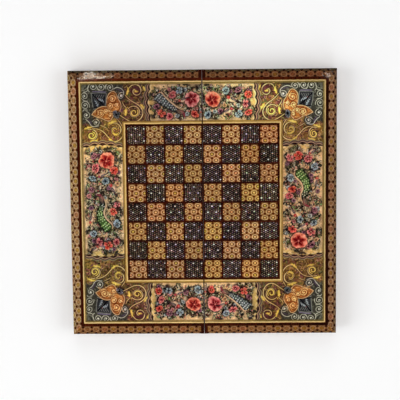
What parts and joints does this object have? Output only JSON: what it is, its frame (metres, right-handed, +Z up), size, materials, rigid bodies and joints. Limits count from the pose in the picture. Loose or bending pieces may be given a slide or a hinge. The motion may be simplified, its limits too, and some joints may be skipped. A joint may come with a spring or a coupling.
{
  "type": "folding marquetry chess board",
  "caption": "Folding marquetry game board: two shallow hinged trays, chess field and painted border on their outer faces, points for tables inside.",
  "frame": {"origin": "under the middle of the open board, on the fold, level with the lowest point of the hinge barrels", "axes": "+X across the fold towards the right half, +Y along the fold towards the rear (the top of the picture), +Z up out of the chess face"},
  "size_m": [0.3, 0.3, 0.0255],
  "materials": {
    "carcass_wood": "bare wood under a thin clear varnish",
    "plywood": "plain plywood, hidden",
    "border_mosaic": "micromosaic under gloss lacquer",
    "dark_wood": "dark red-brown wood under gloss lacquer",
    "gold_line": "pale gold inlay line under gloss lacquer",
    "painted_ground": "hand-painted ground under gloss lacquer",
    "dark_mosaic": "dark micromosaic under gloss lacquer",
    "light_mosaic": "light micromosaic under gloss lacquer",
    "side_mosaic": "micromosaic under gloss lacquer",
    "lining_wood": "red-brown veneer, satin",
    "tray_wood": "veneer, satin",
    "light_wood": "pale veneer, satin",
    "dark_point_wood": "dark veneer, satin",
    "hinge_brass": "polished brass, slightly worn",
    "screw_brass": "polished brass",
    "pin_steel": "plain steel",
    "magnet_nickel": "nickel-plated"
  },
  "bodies": {
    "left_half": {"left_side_wall": "carcass_wood", "left_rear_wall": "carcass_wood", "left_front_wall": "carcass_wood", "left_spine_wall": "carcass_wood", "left_panel": "plywood", "left_border_side": "border_mosaic", "left_border_rear": "border_mosaic", "left_border_front": "border_mosaic", "left_seam_blocks": "dark_wood", "left_dark_line": "dark_wood", "left_outer_gold_line": "gold_line", "left_painted_sheet": "painted_ground", "left_inner_gold_line": "gold_line", "left_square_grid": "dark_wood", "left_dark_squares": "dark_mosaic", "left_light_squares": "light_mosaic", "left_side_veneer": "side_mosaic", "left_end_veneers": "side_mosaic", "left_spine_facing": "dark_wood", "left_wall_linings": "lining_wood", "left_tray_field": "tray_wood", "left_light_points": "light_wood", "left_dark_points": "dark_point_wood", "left_hinge_leaves": "hinge_brass", "left_hinge_screws": "screw_brass", "left_magnets": "magnet_nickel", "hinge_pins": "pin_steel"},
    "right_half": {"right_side_wall": "carcass_wood", "right_rear_wall": "carcass_wood", "right_front_wall": "carcass_wood", "right_spine_wall": "carcass_wood", "right_panel": "plywood", "right_border_side": "border_mosaic", "right_border_rear": "border_mosaic", "right_border_front": "border_mosaic", "right_seam_blocks": "dark_wood", "right_dark_line": "dark_wood", "right_outer_gold_line": "gold_line", "right_painted_sheet": "painted_ground", "right_inner_gold_line": "gold_line", "right_square_grid": "dark_wood", "right_dark_squares": "dark_mosaic", "right_light_squares": "light_mosaic", "right_side_veneer": "side_mosaic", "right_end_veneers": "side_mosaic", "right_spine_facing": "dark_wood", "right_wall_linings": "lining_wood", "right_tray_field": "tray_wood", "right_light_points": "light_wood", "right_dark_points": "dark_point_wood", "right_hinge_leaves": "hinge_brass", "right_hinge_screws": "screw_brass", "right_magnets": "magnet_nickel"}
  },
  "joints": [
    {"name": "fold", "type": "hinge", "parent": "left_half", "child": "right_half", "pos_m": [0, 0, 0.0013], "axis": [0, 1, 0], "range_deg": [0, 180]}
  ]
}
